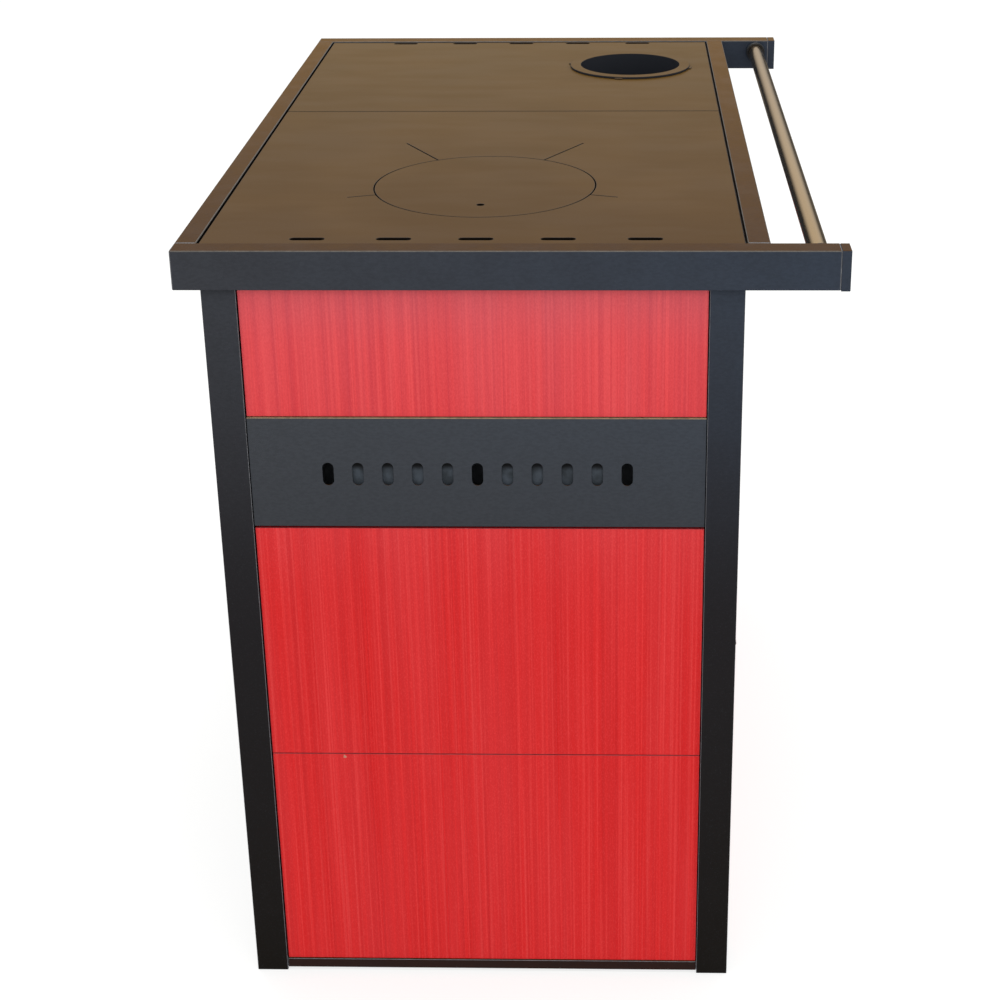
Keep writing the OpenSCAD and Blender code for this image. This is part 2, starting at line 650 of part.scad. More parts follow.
module hinge_brackets() color("#3c3c3e") difference() {
    union() {
        for (z = [fire_z0 - 4, fire_z1 + 1]) slab_z(z, bracket_t) {
            rect(fire_x0 + 1, door_mid_y, fire_pin_x + 9, plate_y);
            translate([fire_pin_x, door_mid_y]) circle(d = door_t - 2);
        }
        for (x = [oven_x0 - 4, oven_x1 + 0.5]) slab_x(x, bracket_t) {
            rect(door_mid_y, oven_pin_z - 9, plate_y, oven_pin_z + 9);
            translate([door_mid_y, oven_pin_z]) circle(d = door_t - 2);
        }
    }
    rod_z(shelf_z, bar_z, fire_pin_x, door_mid_y, pin_d + 2 * fit_gap);
    rod_x(oven_x0 - 10, oven_x1 + 10, door_mid_y, oven_pin_z, pin_d + 2 * fit_gap);
}

// Ash drawer
ash_z0 = shelf_z + half_gap;
ash_z1 = ash_top_z - half_gap - 4;
ash_mid_x = (fire_x0 + fire_x1) / 2;
ash_mid_z = (ash_z0 + ash_z1) / 2;
pan_z = cell_floor + 2 * play;
module air_holes() for (i = [0:2])
    rotate(i * 120 + 30) translate([wheel_d / 2 - air_hole_inset, 0]) circle(d = air_hole_d);
module ash_drawer_front() color("#c9292e") difference() {
    union() {
        slab_y(body_front, door_t) round_rect(fire_x0, ash_z0, fire_x1, ash_z1, 3);
        translate([ash_x1 - knob_inset, body_front, ash_mid_z]) rotate([90, 0, 0])
            cylinder(d1 = knob_d - 12, d2 = knob_d, h = knob_l);
    }
    translate([ash_mid_x, body_front - 1, ash_mid_z]) rotate([-90, 0, 0]) linear_extrude(door_t + 2) air_holes();
    rod_y(body_front - 1, body_front + 12, ash_mid_x, ash_mid_z, 6 + 2 * fit_gap);
}
module ash_pan() color("#6f6f70") difference() {
    slab_y(door_back, ash_l) rect(ash_x0, pan_z, ash_x1, ash_z1 - 12);
    translate([ash_x0 + sheet, door_back + sheet, pan_z + sheet])
        cube([ash_x1 - ash_x0 - 2 * sheet, ash_l - 2 * sheet, ash_z1]);
    slab_y(door_back - 1, sheet + 2) rect(ash_x0 + sheet, pan_z + pan_lip_h, ash_x1 - sheet, ash_z1);
}
module air_wheel() color("#2b2b2b") {
    translate([ash_mid_x, body_front - play, ash_mid_z]) rotate([90, 0, 0]) difference() {
        union() {
            cylinder(d = wheel_d, h = 4);
            cylinder(d1 = 22, d2 = 18, h = 15);
        }
        translate([0, 0, -1]) linear_extrude(6) rotate(60) air_holes();
    }
    rod_y(body_front - 1, body_front + 10, ash_mid_x, ash_mid_z, 6);
}

// Oven
module oven_box() color("#1e2226") difference() {
    slab_y(inside_y + play, oven_l + wall)
        rect(oven_in_x - wall, oven_z - wall, oven_in_x + oven_w + wall, oven_z + oven_h + wall);
    difference() {
        slab_y(inside_y, oven_l) rect(oven_in_x, oven_z, oven_in_x + oven_w, oven_z + oven_h);
        for (x = [oven_in_x, oven_in_x + oven_w - runner_w], i = [1:3])
            slab_y(inside_y, oven_l) rect(x, oven_z + i * oven_h / 4 - 6, x + runner_w, oven_z + i * oven_h / 4);
    }
}
runner_w = 8;
rack_l = oven_l - 50;
rack_z = oven_z + oven_h / 2 + play;
module oven_rack() color("#b9bcc0") {
    x0 = oven_in_x + 2;
    x1 = oven_in_x + oven_w - 2;
    y0 = inside_y + 40;
    zc = rack_z + rack_rod_d / 2;
    for (x = [x0 + rack_rod_d / 2, x1 - rack_rod_d / 2]) rod_y(y0, y0 + rack_l, x, zc, rack_rod_d);
    for (y = [y0 + rack_rod_d / 2, y0 + rack_l - rack_rod_d / 2])
        rod_x(x0 + rack_rod_d / 2, x1 - rack_rod_d / 2, y, zc, (rack_rod_d + rack_bar_d) / 2);
    for (i = [1:rack_rods]) rod_y(y0 + rack_rod_d / 2, y0 + rack_l - rack_rod_d / 2,
        x0 + i * (x1 - x0) / (rack_rods + 1), zc, rack_bar_d);
}
module baking_tray() color("#2c2f33") difference() {
    z1 = oven_z + oven_h / 4 + play;
    union() {
        slab_z(z1, 2) rect(oven_in_x + 2, inside_y + 40, oven_in_x + oven_w - 2, inside_y + 40 + rack_l);
        slab_z(z1 - tray_h, tray_h) round_rect(oven_in_x + runner_w + 3, inside_y + 46,
            oven_in_x + oven_w - runner_w - 3, inside_y + 34 + rack_l, 14);
    }
    slab_z(z1 - tray_h + 2, tray_h + 2) round_rect(oven_in_x + runner_w + 5, inside_y + 48,
        oven_in_x + oven_w - runner_w - 5, inside_y + 32 + rack_l, 12);
}
oven_z0 = shelf_z + half_gap + 1;
oven_z1 = fascia_z - half_gap;
oven_pin_z = oven_z0 + door_t / 2;
window_in = 76;
module window(grow, r) round_rect(oven_x0 + window_in - grow, oven_z0 + window_in - grow,
    oven_x1 - window_in + grow, oven_z1 - window_in - 40 + grow, r);
module oven_door() color("#cb2a2f") difference() {
    union() {
        slab_y(body_front, door_t) rect(oven_x0, oven_pin_z, oven_x1, oven_z1);
        rod_x(oven_x0, oven_x1, door_mid_y, oven_pin_z, door_t);
    }
    slab_y(body_front - 1, door_t + 2) window(0, 16);
    slab_y(body_front - 1, 1 + glass_t + play) window(12, 20);
    slab_y(door_back - 3, 4) seal_ring(oven_x0 + 8, oven_pin_z + 12, oven_x1 - 8, oven_z1 - 8, seal_w + 1);
    for (x = [oven_x0 - 1, oven_x1 - 14]) rod_x(x, x + 15, door_mid_y, oven_pin_z, pin_d + 0.1);
    rod_y(body_front - 1, body_front + 6, dial_x, dial_z, 57);
}
module oven_glass() color([0.25, 0.25, 0.27, 0.5]) slab_y(body_front, glass_t) window(11.5, 19.5);
module oven_seal() color("#b8b4aa") slab_y(door_back - 3 + play, seal_gap + 3 - 2 * play)
    seal_ring(oven_x0 + 8.5, oven_pin_z + 12.5, oven_x1 - 8.5, oven_z1 - 8.5, seal_w);
module oven_door_pins() color("#8f8f8f") for (x = [oven_x0 - 4, oven_x1 - 13]) rod_x(x, x + 16.5, door_mid_y, oven_pin_z, pin_d);
module bar_handle(x0, x1, z) {
    rod_x(x0, x1, body_front - handle_reach + handle_d / 2, z, handle_d);
    for (x = [x0 + 25, x1 - 25]) rod_y(body_front - handle_reach + handle_d / 2, body_front, x, z, handle_d - 2);
}
module oven_door_handle() color("#b9bcc0") bar_handle(oven_x0 + 60, oven_x1 - 60, oven_z1 - 16);
module thermometer() color("#d9d9d4") translate([dial_x, body_front + 6, dial_z]) rotate([90, 0, 0]) difference() {
    cylinder(d = 56.8, h = 9);
    translate([0, 0, 3]) cylinder(d = 50, h = 9);
    translate([0, 0, 1]) cylinder(d = 3 + 2 * fit_gap, h = 9);
}
module thermometer_needle() color("#1a1a1a") translate([dial_x, body_front + 6, dial_z]) rotate([90, 0, 0]) {
    translate([0, 0, 1 + play]) cylinder(d = 3, h = 5);
    translate([0, 0, 4]) cylinder(d = 8, h = 1.6);
    rotate(130) translate([-1, -7, 4]) cube([2, 28, 1]);
}

// Wood drawer
module wood_drawer_front() color("#c9292e") difference() {
    slab_y(body_front, door_t) round_rect(-drawer_x, base_top + half_gap, drawer_x, shelf_z - half_gap, 2);
    slab_y(body_front + sheet, door_t) rect(-drawer_x + sheet, base_top + half_gap + sheet,
        drawer_x - sheet, shelf_z - half_gap - sheet);
}
box_x = drawer_x - 12;
module wood_drawer_box() color("#5d5f61") difference() {
    slab_z(box_z, shelf_z - 40 - box_z) rect(-box_x, body_front + sheet, box_x, door_back + drawer_l);
    slab_z(box_z + sheet, shelf_z) rect(-box_x + sheet, body_front + 2 * sheet, box_x - sheet, door_back + drawer_l - sheet);
}
module wood_drawer_handle() color("#b9bcc0") bar_handle(-wood_handle_l / 2, wood_handle_l / 2, shelf_z - 50);

left_hob_bar();
right_hob_bar();
front_hob_bar();
rear_hob_bar();
bar_end_caps();
left_hob_plate();
right_hob_plate();
hob_disc();
flue_collar();
towel_rail();
rail_ferrules();
front_left_post();
front_right_post();
rear_left_post();
rear_right_post();
base_pan();
middle_shelf();
front_plate();
fascia();
left_upper_panel();
left_vent_strip();
left_middle_panel();
left_lower_panel();
left_vent_baffle();
right_upper_panel();
right_vent_strip();
right_middle_panel();
right_lower_panel();
right_vent_baffle();
rear_cover();
inner_casing();
smoke_walls();
firebricks();
grate_frame();
fire_grate();
damper_flap();
damper_knob();
hinge_brackets();
fire_door();
fire_door_pins();
fire_glass();
glass_clips();
fire_door_seal();
fire_door_handle();
ash_drawer_front();
ash_pan();
air_wheel();
oven_box();
oven_rack();
baking_tray();
oven_door();
oven_door_pins();
oven_glass();
oven_seal();
oven_door_handle();
thermometer();
thermometer_needle();
wood_drawer_front();
wood_drawer_box();
wood_drawer_handle();
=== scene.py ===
import json
import math

import bpy
from mathutils import Matrix, Vector


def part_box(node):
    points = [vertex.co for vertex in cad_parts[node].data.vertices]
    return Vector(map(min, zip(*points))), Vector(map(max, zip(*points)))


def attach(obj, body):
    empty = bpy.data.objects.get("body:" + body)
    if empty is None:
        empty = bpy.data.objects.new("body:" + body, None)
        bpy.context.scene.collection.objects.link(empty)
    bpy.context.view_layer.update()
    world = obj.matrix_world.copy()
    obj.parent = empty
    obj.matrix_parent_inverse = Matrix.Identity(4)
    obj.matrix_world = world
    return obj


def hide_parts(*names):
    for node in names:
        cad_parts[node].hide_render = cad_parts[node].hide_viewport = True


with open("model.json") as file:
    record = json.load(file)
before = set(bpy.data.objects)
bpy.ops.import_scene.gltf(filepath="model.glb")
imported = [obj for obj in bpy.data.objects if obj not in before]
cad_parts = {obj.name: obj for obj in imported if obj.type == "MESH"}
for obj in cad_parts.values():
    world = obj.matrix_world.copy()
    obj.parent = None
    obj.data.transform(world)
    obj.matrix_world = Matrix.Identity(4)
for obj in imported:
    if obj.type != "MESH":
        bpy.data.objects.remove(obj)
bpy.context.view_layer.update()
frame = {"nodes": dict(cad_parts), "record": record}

MM = 0.001
BODY_OF = {
    solid: body
    for body, solids in frame["record"]["behaviour"]["bodies"].items()
    for solid in solids
}
SLOT_OF = {row["node"]: row["material_slot"] for row in frame["record"]["subparts"]}


# Camera, at the height of someone standing by the firebox side of the stove

def look_from_the_side():
    yaw, pitch, roll = 0.0246, 0.3861, 0.0076
    ahead = Vector(
        (
            math.cos(yaw) * math.cos(pitch),
            math.sin(yaw) * math.cos(pitch),
            -math.sin(pitch),
        )
    )
    level_right = Vector((math.sin(yaw), -math.cos(yaw), 0))
    level_down = ahead.cross(level_right)
    right = math.cos(roll) * level_right + math.sin(roll) * level_down
    down = math.cos(roll) * level_down - math.sin(roll) * level_right
    lens = bpy.data.cameras.new("stove_camera")
    lens.sensor_width = 36
    lens.lens = 68.36
    lens.shift_x = -0.075
    lens.shift_y = -0.105
    lens.clip_end = 60
    camera = bpy.data.objects.new("stove_camera", lens)
    turned = Matrix((right, -down, -ahead)).transposed()
    stand = Matrix.Translation((-2.2181, -0.1039, 1.4012))
    camera.matrix_world = stand @ turned.to_4x4()
    bpy.context.scene.collection.objects.link(camera)
    bpy.context.scene.camera = camera


look_from_the_side()


# Finishes

def paint(code):
    """A colour from its six hexadecimal digits, as the light that it reflects."""
    parts = [int(code[i : i + 2], 16) / 255 for i in (0, 2, 4)]
    return (*[p / 12.92 if p <= 0.04045 else ((p + 0.055) / 1.055) ** 2.4 for p in parts], 1)


class Finish:
    """One finish of the stove, built up from grain, blends and relief."""

    def __init__(self, name, colour, metal=0.0, rough=0.5):
        self.material = bpy.data.materials.new(name)
        self.material.use_nodes = True
        self.tree = self.material.node_tree
        self.shader = self.tree.nodes["Principled BSDF"]
        self.set("Base Color", paint(colour))
        self.set("Metallic", metal)
        self.set("Roughness", rough)
        self.material.diffuse_color = paint(colour)
        self.place = self.add("ShaderNodeTexCoord")
        self.relief = None

    def add(self, kind, feeds=(), **settings):
        made = self.tree.nodes.new(kind)
        for name, value in settings.items():
            setattr(made, name, value)
        for socket, value in dict(feeds).items():
            if isinstance(value, bpy.types.NodeSocket):
                self.tree.links.new(value, made.inputs[socket])
            else:
                made.inputs[socket].default_value = value
        return made

    def set(self, socket, value):
        if isinstance(value, bpy.types.NodeSocket):
            self.tree.links.new(value, self.shader.inputs[socket])
        else:
            self.shader.inputs[socket].default_value = value

    def spread(self, stretch):
        feeds = {"Vector": self.place.outputs["Object"], "Scale": stretch}
        return self.add("ShaderNodeMapping", feeds).outputs[0]

    def grain(self, size, stretch=(1, 1, 1), detail=3.0, rough=0.55):
        """Cloudy grain, size millimetres across."""
        feeds = {
            "Vector": self.spread(stretch),
            "Scale": 1000 / size,
            "Detail": detail,
            "Roughness": rough,
        }
        return self.add("ShaderNodeTexNoise", feeds).outputs[0]

    def specks(self, size):
        """Round flecks, size millimetres apart."""
        feeds = {"Vector": self.place.outputs["Object"], "Scale": 1000 / size}
        return self.add("ShaderNodeTexVoronoi", feeds).outputs["Distance"]

    def between(self, value, low, high, out_low=0.0, out_high=1.0, smooth=True):
        feeds = {
            "Value": value,
            "From Min": low,
            "From Max": high,
            "To Min": out_low,
            "To Max": out_high,
        }
        kind = "SMOOTHSTEP" if smooth else "LINEAR"
        return self.add("ShaderNodeMapRange", feeds, interpolation_type=kind).outputs[0]

    def combine(self, first, second, kind="ADD"):
        return self.add("ShaderNodeMath", {0: first, 1: second}, operation=kind).outputs[0]

    def blend(self, share, first, second):
        feeds = {0: share, 6: first, 7: second}
        return self.add("ShaderNodeMix", feeds, data_type="RGBA").outputs[2]

    def height(self, axis="Z"):
        at = self.add("ShaderNodeSeparateXYZ", {0: self.place.outputs["Object"]})
        return at.outputs[axis]

    def facing(self):
        """How far a face looks up, from -1 to 1."""
        at = self.add("ShaderNodeSeparateXYZ", {0: self.place.outputs["Normal"]})
        return at.outputs["Z"]

    def raise_by(self, height, depth, strength):
        """Relief depth millimetres deep, laid over what is there."""
        feeds = {"Height": height, "Distance": depth * MM, "Strength": strength}
        if self.relief is not None:
            feeds["Normal"] = self.relief
        self.relief = self.add("ShaderNodeBump", feeds).outputs[0]
        self.set("Normal", self.relief)


LEFT_SEAM_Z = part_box("left_lower_panel")[1][2]
ENAMEL_CHIP = (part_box("left_lower_panel")[0][0], 0.188, LEFT_SEAM_Z - 0.0035)


def brushed_enamel():
    """Red enamel over vertically brushed sheet, with a painted pink sheen and haze towards the top
    of the stove.
    """
    f = Finish("red_brushed_enamel", "cf2b2e", rough=0.34)
    f.set("Specular IOR Level", 0.2)
    hair = f.grain(2.2, (1, 1, 0.005), 1)
    fine = f.grain(4.5, (1, 1, 0.004), 3)
    band = f.grain(11, (1, 1, 0.004), 2)
    cloud = f.grain(60, (1, 1, 0.4), 3)
    haze = f.grain(45, (1, 1, 0.12), 2)
    crumb = f.grain(1.1, (1, 1, 0.5), 2)
    streak = f.blend(0.45, f.between(fine, 0.34, 0.66), f.between(hair, 0.3, 0.7))
    streak = f.blend(f.between(band, 0.35, 0.65, 0.05, 0.4), streak, (1, 1, 1, 1))
    low = f.blend(streak, paint("b61214"), paint("cc1716"))
    # high is the streaked red made paler and pinker, the painted sheen used towards the top
    high = f.blend(streak, paint("ba3943"), paint("d64649"))
    lit = f.between(hair, 0.5, 0.75, 0, 0.1)
    # painted sheen: the enamel turns from the low to the paler high colour with height
    rise = f.between(f.height(), 0.45, 0.84)
    body = f.blend(rise, low, high)
    body = f.blend(lit, body, paint("ee7672"))
    # painted reflection: a mauve haze along the top of the upper panels, just below the hob bars
    body = f.blend(f.between(f.height(), 0.74, 0.81, 0, 0.25), body, paint("a8606c"))
    # painted sheen: a pale pink haze laid over the enamel, stronger with height
    painted_haze_height = f.between(f.height(), 0.3, 0.8, 0.4, 1)
    cover = f.combine(f.between(haze, 0.35, 0.7, 0.04, 0.15), painted_haze_height, "MULTIPLY")
    body = f.blend(cover, body, paint("d3656c"))
    body = f.blend(f.between(cloud, 0.35, 0.7, 0, 0.14), body, paint("c42a2d"))
    body = f.blend(f.between(crumb, 0.45, 0.7, 0, 0.14), body, paint("9c1c22"))
    body = f.blend(f.between(crumb, 0.3, 0.5, 0.1, 0), body, paint("e8676a"))
    level = f.between(f.combine(f.facing(), 0, "ABSOLUTE"), 0.6, 0.9)
    body = f.blend(level, body, paint("b4262a"))
    ends = {0: f.place.outputs["Object"], 1: ENAMEL_CHIP}
    chip = f.add("ShaderNodeVectorMath", ends, operation="DISTANCE").outputs["Value"]
    ragged = f.combine(chip, f.between(crumb, 0, 1, -0.002, 0.002, smooth=False))
    f.set("Base Color", f.blend(f.between(ragged, 0.0012, 0.0024, 0.9, 0), body, paint("b07c68")))
    f.set("Roughness", f.between(band, 0.3, 0.7, 0.27, 0.4))
    f.raise_by(fine, 0.04, 0.2)
    f.raise_by(hair, 0.02, 0.2)
    return f.material


def stove_paint(name, foot_of_painted_shade, middle, head_of_painted_shade, front_head_of_painted_shade):
    """Black stove paint; brown where it faces up, heat tint and a painted warm reflection, darker
    towards the -X end as painted shade; a painted shade gradient from a dark foot to a paler head;
    cooler at the front.
    """
    f = Finish(name, middle, rough=0.4)
    f.set("Specular IOR Level", 0.05)
    cloud = f.grain(45, detail=4)
    dust = f.grain(1.1, detail=2)
    # painted shade: upright faces run from the dark foot colour to the middle colour over the
    # lower stove
    upright_with_painted_shade = f.blend(f.between(f.height(), 0.0, 0.45, smooth=False), paint(foot_of_painted_shade), paint(middle))
    cooler = f.between(f.height("Y"), 0.3, -0.3, smooth=False)
    top = f.blend(cooler, paint(head_of_painted_shade), paint(front_head_of_painted_shade))
    # painted shade: upright faces turn paler towards the head colours near the top
    upright_with_painted_shade = f.blend(f.between(f.height(), 0.42, 0.84), upright_with_painted_shade, top)
    upright_with_painted_shade = f.blend(f.between(cloud, 0.35, 0.7, 0, 0.12), upright_with_painted_shade, paint(middle))
    # painted shade: up-facing faces darker towards the -X end
    painted_shade_along_x = f.between(f.height("X"), -0.5, 0.5, smooth=False)
    # brown of the up-facing faces: heat tint and a painted warm reflection
    level = f.blend(painted_shade_along_x, paint("42290a"), paint("5e400a"))
    level = f.blend(f.between(cloud, 0.45, 0.75, 0, 0.2), level, paint("5e4724"))
    # up picks the up-facing faces that take the painted warm reflection
    up = f.between(f.facing(), 0.55, 0.95)
    body = f.blend(up, upright_with_painted_shade, level)
    peel = f.grain(2.4, (1, 0.45, 1), 2)
    body = f.blend(f.between(peel, 0.35, 0.68, 0, 0.13), body, paint("17181a"))
    f.set("Base Color", f.blend(f.between(dust, 0.6, 0.75, 0, 0.2), body, paint("474c53")))
    f.set("Roughness", f.between(cloud, 0.3, 0.7, 0.38, 0.48))
    f.raise_by(peel, 0.18, 0.5)
    f.raise_by(dust, 0.06, 0.35)
    return f.material


def hob_plate(name, side):
    """Rolled steel cooking plate, seasoned with use; olive brown where it faces up, heat tint and
    a painted warm reflection, darker towards the -X end as painted shade; its sides painted dark
    as shade.
    """
    f = Finish(name, "5f4a30", rough=0.42)
    f.set("Specular IOR Level", 0.06)
    cloud = f.grain(150, detail=2)
    smear = f.grain(45, (1, 0.3, 1), 2)
    dust = f.grain(0.9, detail=2)
    # painted shade: the plate darker towards the -X end
    painted_shade_along_x = f.between(f.height("X"), -0.5, 0.5, smooth=False)
    body = f.blend(painted_shade_along_x, paint("4a320e"), paint("59421a"))
    body = f.blend(f.between(cloud, 0.4, 0.7, 0, 0.14), body, paint("684c24"))
    body = f.blend(f.between(smear, 0.5, 0.75, 0, 0.1), body, paint("4a3418"))
    body = f.blend(f.between(dust, 0.62, 0.78, 0, 0.15), body, paint("6a4f2c"))
    # painted shade: faces that do not face up take the dark side colour
    up = f.between(f.facing(), 0.5, 0.9)
    f.set("Base Color", f.blend(up, paint(side), body))
    f.set("Roughness", f.between(smear, 0.3, 0.7, 0.4, 0.46))
    f.raise_by(dust, 0.05, 0.3)
    return f.material


def towel_rail_steel():
    """Brushed steel tube, champagne where it catches the light."""
    f = Finish("rail_brushed_steel", "c8a576", metal=1.0, rough=0.14)
    brush = f.grain(0.8, (0.04, 1, 1), 2)
    f.set("Base Color", f.blend(brush, paint("a6834b"), paint("b7965c")))
    f.set("Roughness", f.between(brush, 0.3, 0.7, 0.12, 0.18))
    f.raise_by(brush, 0.01, 0.15)
    return f.material


def black_trim():
    """Satin black moulded and turned trim."""
    f = Finish("trim_satin_black", "1c1e21", rough=0.35)
    dust = f.grain(0.8, detail=2)
    f.set("Base Color", f.blend(f.between(dust, 0.4, 0.7), paint("191b1e"), paint("24272b")))
    f.set("Roughness", f.between(dust, 0.3, 0.7, 0.3, 0.42))
    f.raise_by(dust, 0.04, 0.3)
    return f.material


def sheet_inside():
    """Bare rolled sheet inside the stove, blued in patches."""
    f = Finish("inner_rolled_sheet", "565a60", metal=0.75, rough=0.45)
    cloud = f.grain(70, detail=4)
    roll = f.grain(2.2, (1, 1, 0.05), 2)
    body = f.blend(f.between(cloud, 0.3, 0.7), paint("54585d"), paint("5d6065"))
    f.set("Base Color", f.blend(f.between(roll, 0.45, 0.7, 0, 0.3), body, paint("3f434b")))
    f.set("Roughness", f.between(cloud, 0.3, 0.7, 0.43, 0.52))
    f.raise_by(roll, 0.03, 0.25)
    return f.material


def sand_cast_iron():
    """Sand-cast iron with its pebbled skin."""
    f = Finish("cast_iron_skin", "2f3236", metal=0.45, rough=0.6)
    skin = f.grain(1.6, detail=4, rough=0.65)
    cloud = f.grain(40, detail=3)
    body = f.blend(f.between(cloud, 0.3, 0.7), paint("2a2c30"), paint("313337"))
    f.set("Base Color", f.blend(f.between(skin, 0.55, 0.8, 0, 0.3), body, paint("484b50")))
    f.set("Roughness", f.between(skin, 0.3, 0.7, 0.5, 0.72))
    f.raise_by(skin, 0.25, 0.5)
    return f.material


def pressed_firebrick():
    """Pressed firebrick, buff, with mica flecks and smoke marks near the grate."""
    f = Finish("firebrick_pressed", "b79b74", rough=0.9)
    crumb = f.grain(3.5, detail=5, rough=0.7)
    fleck = f.specks(5)
    body = f.blend(f.between(crumb, 0.3, 0.7), paint("9f835c"), paint("c9af87"))
    body = f.blend(f.between(fleck, 0.0, 0.22, 0.7, 0), body, paint("e2cfae"))
    smoke = f.between(f.height(), 0.43, 0.6, 0.55, 0.1)
    f.set("Base Color", f.blend(smoke, body, paint("4c4033")))
    f.raise_by(crumb, 0.6, 0.6)
    return f.material


def clear_glass(name, colour, cover):
    """Glass with a tint that covers part of what lies behind it."""
    f = Finish(name, colour, rough=0.04)
    f.set("Alpha", cover)
    f.set("IOR", 1.5)
    haze = f.grain(50, detail=2)
    f.set("Roughness", f.between(haze, 0.35, 0.7, 0.03, 0.09))
    f.raise_by(f.grain(90, detail=1), 0.05, 0.05)
    return f.material


def dial_enamel():
    """Off-white enamel of the dial."""
    f = Finish("dial_white_enamel", "efece2", rough=0.3)
    dust = f.grain(1.5, detail=2)
    f.set("Base Color", f.blend(f.between(dust, 0.4, 0.7), paint("ece8dc"), paint("f4f1e8")))
    f.raise_by(dust, 0.01, 0.1)
    return f.material


def rope_seal():
    """Braided glass rope, charcoal."""
    f = Finish("seal_braided_rope", "3b3b3a", rough=0.95)
    strand = f.grain(1.4, detail=2)
    weave = f.specks(3.2)
    f.set("Base Color", f.blend(f.between(weave, 0.1, 0.6), paint("565451"), paint("262626")))
    f.raise_by(weave, 0.8, 0.7)
    f.raise_by(strand, 0.3, 0.5)
    return f.material


def speckled_enamel():
    """Black oven enamel with fine pale specks."""
    f = Finish("oven_speckled_enamel", "17191d", rough=0.16)
    speck = f.specks(7)
    share = f.between(speck, 0.05, 0.11, 0.85, 0)
    f.set("Base Color", f.blend(share, paint("15171b"), paint("b9bdc4")))
    f.set("Coat Weight", 0.4)
    f.raise_by(f.grain(14, detail=1), 0.15, 0.1)
    return f.material


def polished_chrome():
    """Polished chrome with hairline wear."""
    f = Finish("chrome_polished", "d5d8dc", metal=1.0, rough=0.12)
    hair = f.grain(0.7, (1, 1, 0.08), 2)
    f.set("Base Color", f.blend(hair, paint("c6cacf"), paint("e2e4e7")))
    f.set("Roughness", f.between(hair, 0.3, 0.7, 0.08, 0.2))
    f.raise_by(hair, 0.01, 0.15)
    return f.material


FINISHES = {
    "red_panel": brushed_enamel(),
    # the foot, middle and head colours given to stove_paint make a painted shade gradient
    "frame_black": stove_paint("frame_stove_paint", "181512", "201e20", "36383d", "323944"),
    # 0c0a09 is painted shade on the sides of the plates
    "hob_steel": hob_plate("hob_rolled_steel", "0c0a09"),
    "rail_steel": towel_rail_steel(),
    "trim_black": black_trim(),
    "inner_steel": sheet_inside(),
    "cast_iron": sand_cast_iron(),
    "firebrick": pressed_firebrick(),
    "glass": clear_glass("stove_ceramic_glass", "14110d", 0.42),
    "seal": rope_seal(),
    "oven_enamel": speckled_enamel(),
    "chrome": polished_chrome(),
}


# Pieces

def painted_edge_line(name, colour, rough, shine=0.5):
    """A finish for the bevel faces along a broken edge; a paler colour there is a painted
    highlight and a darker one a painted shade, with random darker rubbing.
    """
    f = Finish(name, colour, rough=rough)
    rub = f.grain(6, detail=2)
    f.set("Base Color", f.blend(f.between(rub, 0.3, 0.7, 0, 0.35), paint(colour), paint("1c1a1b")))
    f.set("Specular IOR Level", shine)
    f.raise_by(f.grain(0.8, detail=1), 0.02, 0.2)
    return f.material


# Painted edge lines: the red and hob colours are darker than their finishes, painted shade in the
# seams and gaps; the frame colour is paler, a painted highlight.
PAINTED_EDGE_LINES = {
    "red_panel": painted_edge_line("red_enamel_painted_seam_shade", "9c2a2f", 0.3),
    "frame_black": painted_edge_line("stove_paint_painted_edge_highlight", "696a6e", 0.34),
    "hob_steel": painted_edge_line("hob_steel_painted_edge_shade", "382a19", 0.5, 0.2),
}


def pick_only(piece):
    if bpy.context.mode != "OBJECT":
        bpy.ops.object.mode_set(mode="OBJECT")
    bpy.ops.object.select_all(action="DESELECT")
    piece.select_set(True)
    bpy.context.view_layer.objects.active = piece


def give(piece, finish):
    piece.data.materials.clear()
    piece.data.materials.append(finish)


def break_edges(solid, width, finish=None):
    """A copy of one of the part's solids with every sharp edge broken, on the same body."""
    plain = frame["nodes"][solid]
    piece = bpy.data.objects.new(solid + "_finished", plain.data.copy())
    bpy.context.scene.collection.objects.link(piece)
    pick_only(piece)
    bpy.ops.object.mode_set(mode="EDIT")
    bpy.ops.mesh.select_all(action="SELECT")
    bpy.ops.mesh.remove_doubles(threshold=0.00001)
    bpy.ops.mesh.dissolve_limited(angle_limit=math.radians(0.5))
    bpy.ops.object.mode_set(mode="OBJECT")
    bpy.ops.object.shade_smooth()
    edge = piece.modifiers.new("broken_edges", "BEVEL")
    edge.width = width * MM
    edge.segments = 2
    edge.limit_method = "ANGLE"
    edge.angle_limit = math.radians(35)
    edge.use_clamp_overlap = False
    edge.loop_slide = False
    # bevel faces take the painted highlight and shade finish of their slot
    painted_edge = solid not in SOFT_EDGED and PAINTED_EDGE_LINES.get(SLOT_OF[solid])
    edge.material = 1 if painted_edge else -1
    give(piece, finish or FINISHES[SLOT_OF[solid]])
    if painted_edge:
        piece.data.materials.append(painted_edge)
    bpy.ops.object.modifier_apply(modifier=edge.name)
    flat = piece.modifiers.new("flat_faces", "WEIGHTED_NORMAL")
    flat.weight = 100
    flat.mode = "FACE_AREA_WITH_ANGLE"
    bpy.ops.object.modifier_apply(modifier=flat.name)
    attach(piece, BODY_OF[solid])
    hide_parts(solid)
    return piece


